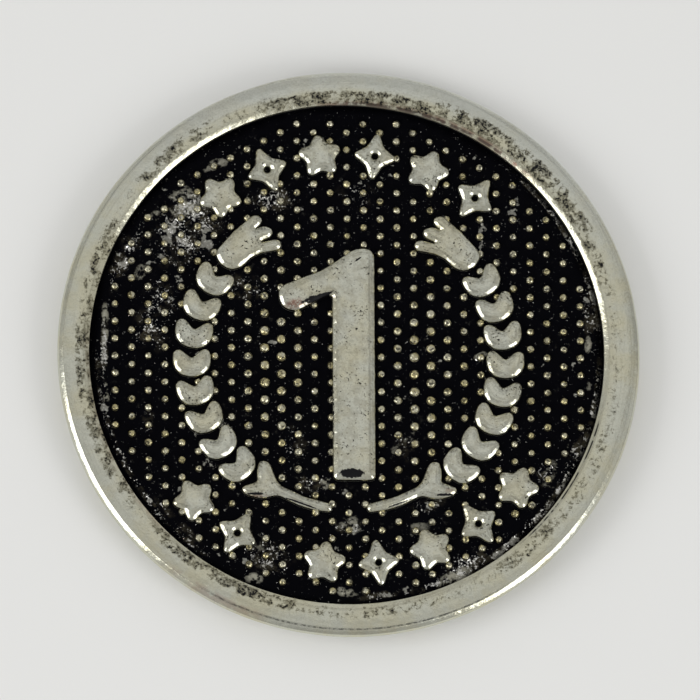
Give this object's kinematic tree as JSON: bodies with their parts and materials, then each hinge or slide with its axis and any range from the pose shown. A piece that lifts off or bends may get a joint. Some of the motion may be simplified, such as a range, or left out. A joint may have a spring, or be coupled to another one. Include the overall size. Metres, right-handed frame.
{
  "type": "metal token",
  "caption": "Round flat metal token with raised rims, a beaded field, the numeral 1 in a laurel wreath and a ring of ornaments.",
  "frame": {"origin": "centre of the face it rests on, which is the crest of the back rim", "axes": "+Z is the token's axis, out of the front; +Y is the top of the design"},
  "size_m": [0.025, 0.025, 0.0015],
  "materials": {
    "rim": "antiqued silver plating, worn bright, with dark pits",
    "relief": "antiqued silver plating, rounded and worn",
    "front_field": "black antiquing with bright bead tops",
    "back_field": "black antiquing"
  },
  "bodies": {
    "root": {"blank": "rim", "front_field": "front_field", "back_field": "back_field", "numeral_one": "relief", "bud_left": "relief", "bud_right": "relief", "stem_left": "relief", "stem_right": "relief", "leaf_left_1": "relief", "leaf_left_2": "relief", "leaf_left_3": "relief", "leaf_left_4": "relief", "leaf_left_5": "relief", "leaf_left_6": "relief", "leaf_left_7": "relief", "leaf_left_8": "relief", "leaf_right_1": "relief", "leaf_right_2": "relief", "leaf_right_3": "relief", "leaf_right_4": "relief", "leaf_right_5": "relief", "leaf_right_6": "relief", "leaf_right_7": "relief", "leaf_right_8": "relief", "stop_upper_1": "relief", "stop_upper_2": "relief", "stop_upper_3": "relief", "stop_upper_4": "relief", "stop_upper_5": "relief", "stop_upper_6": "relief", "stop_lower_1": "relief", "stop_lower_2": "relief", "stop_lower_3": "relief", "stop_lower_4": "relief", "stop_lower_5": "relief", "stop_lower_6": "relief", "stop_lower_7": "relief"}
  },
  "joints": []
}
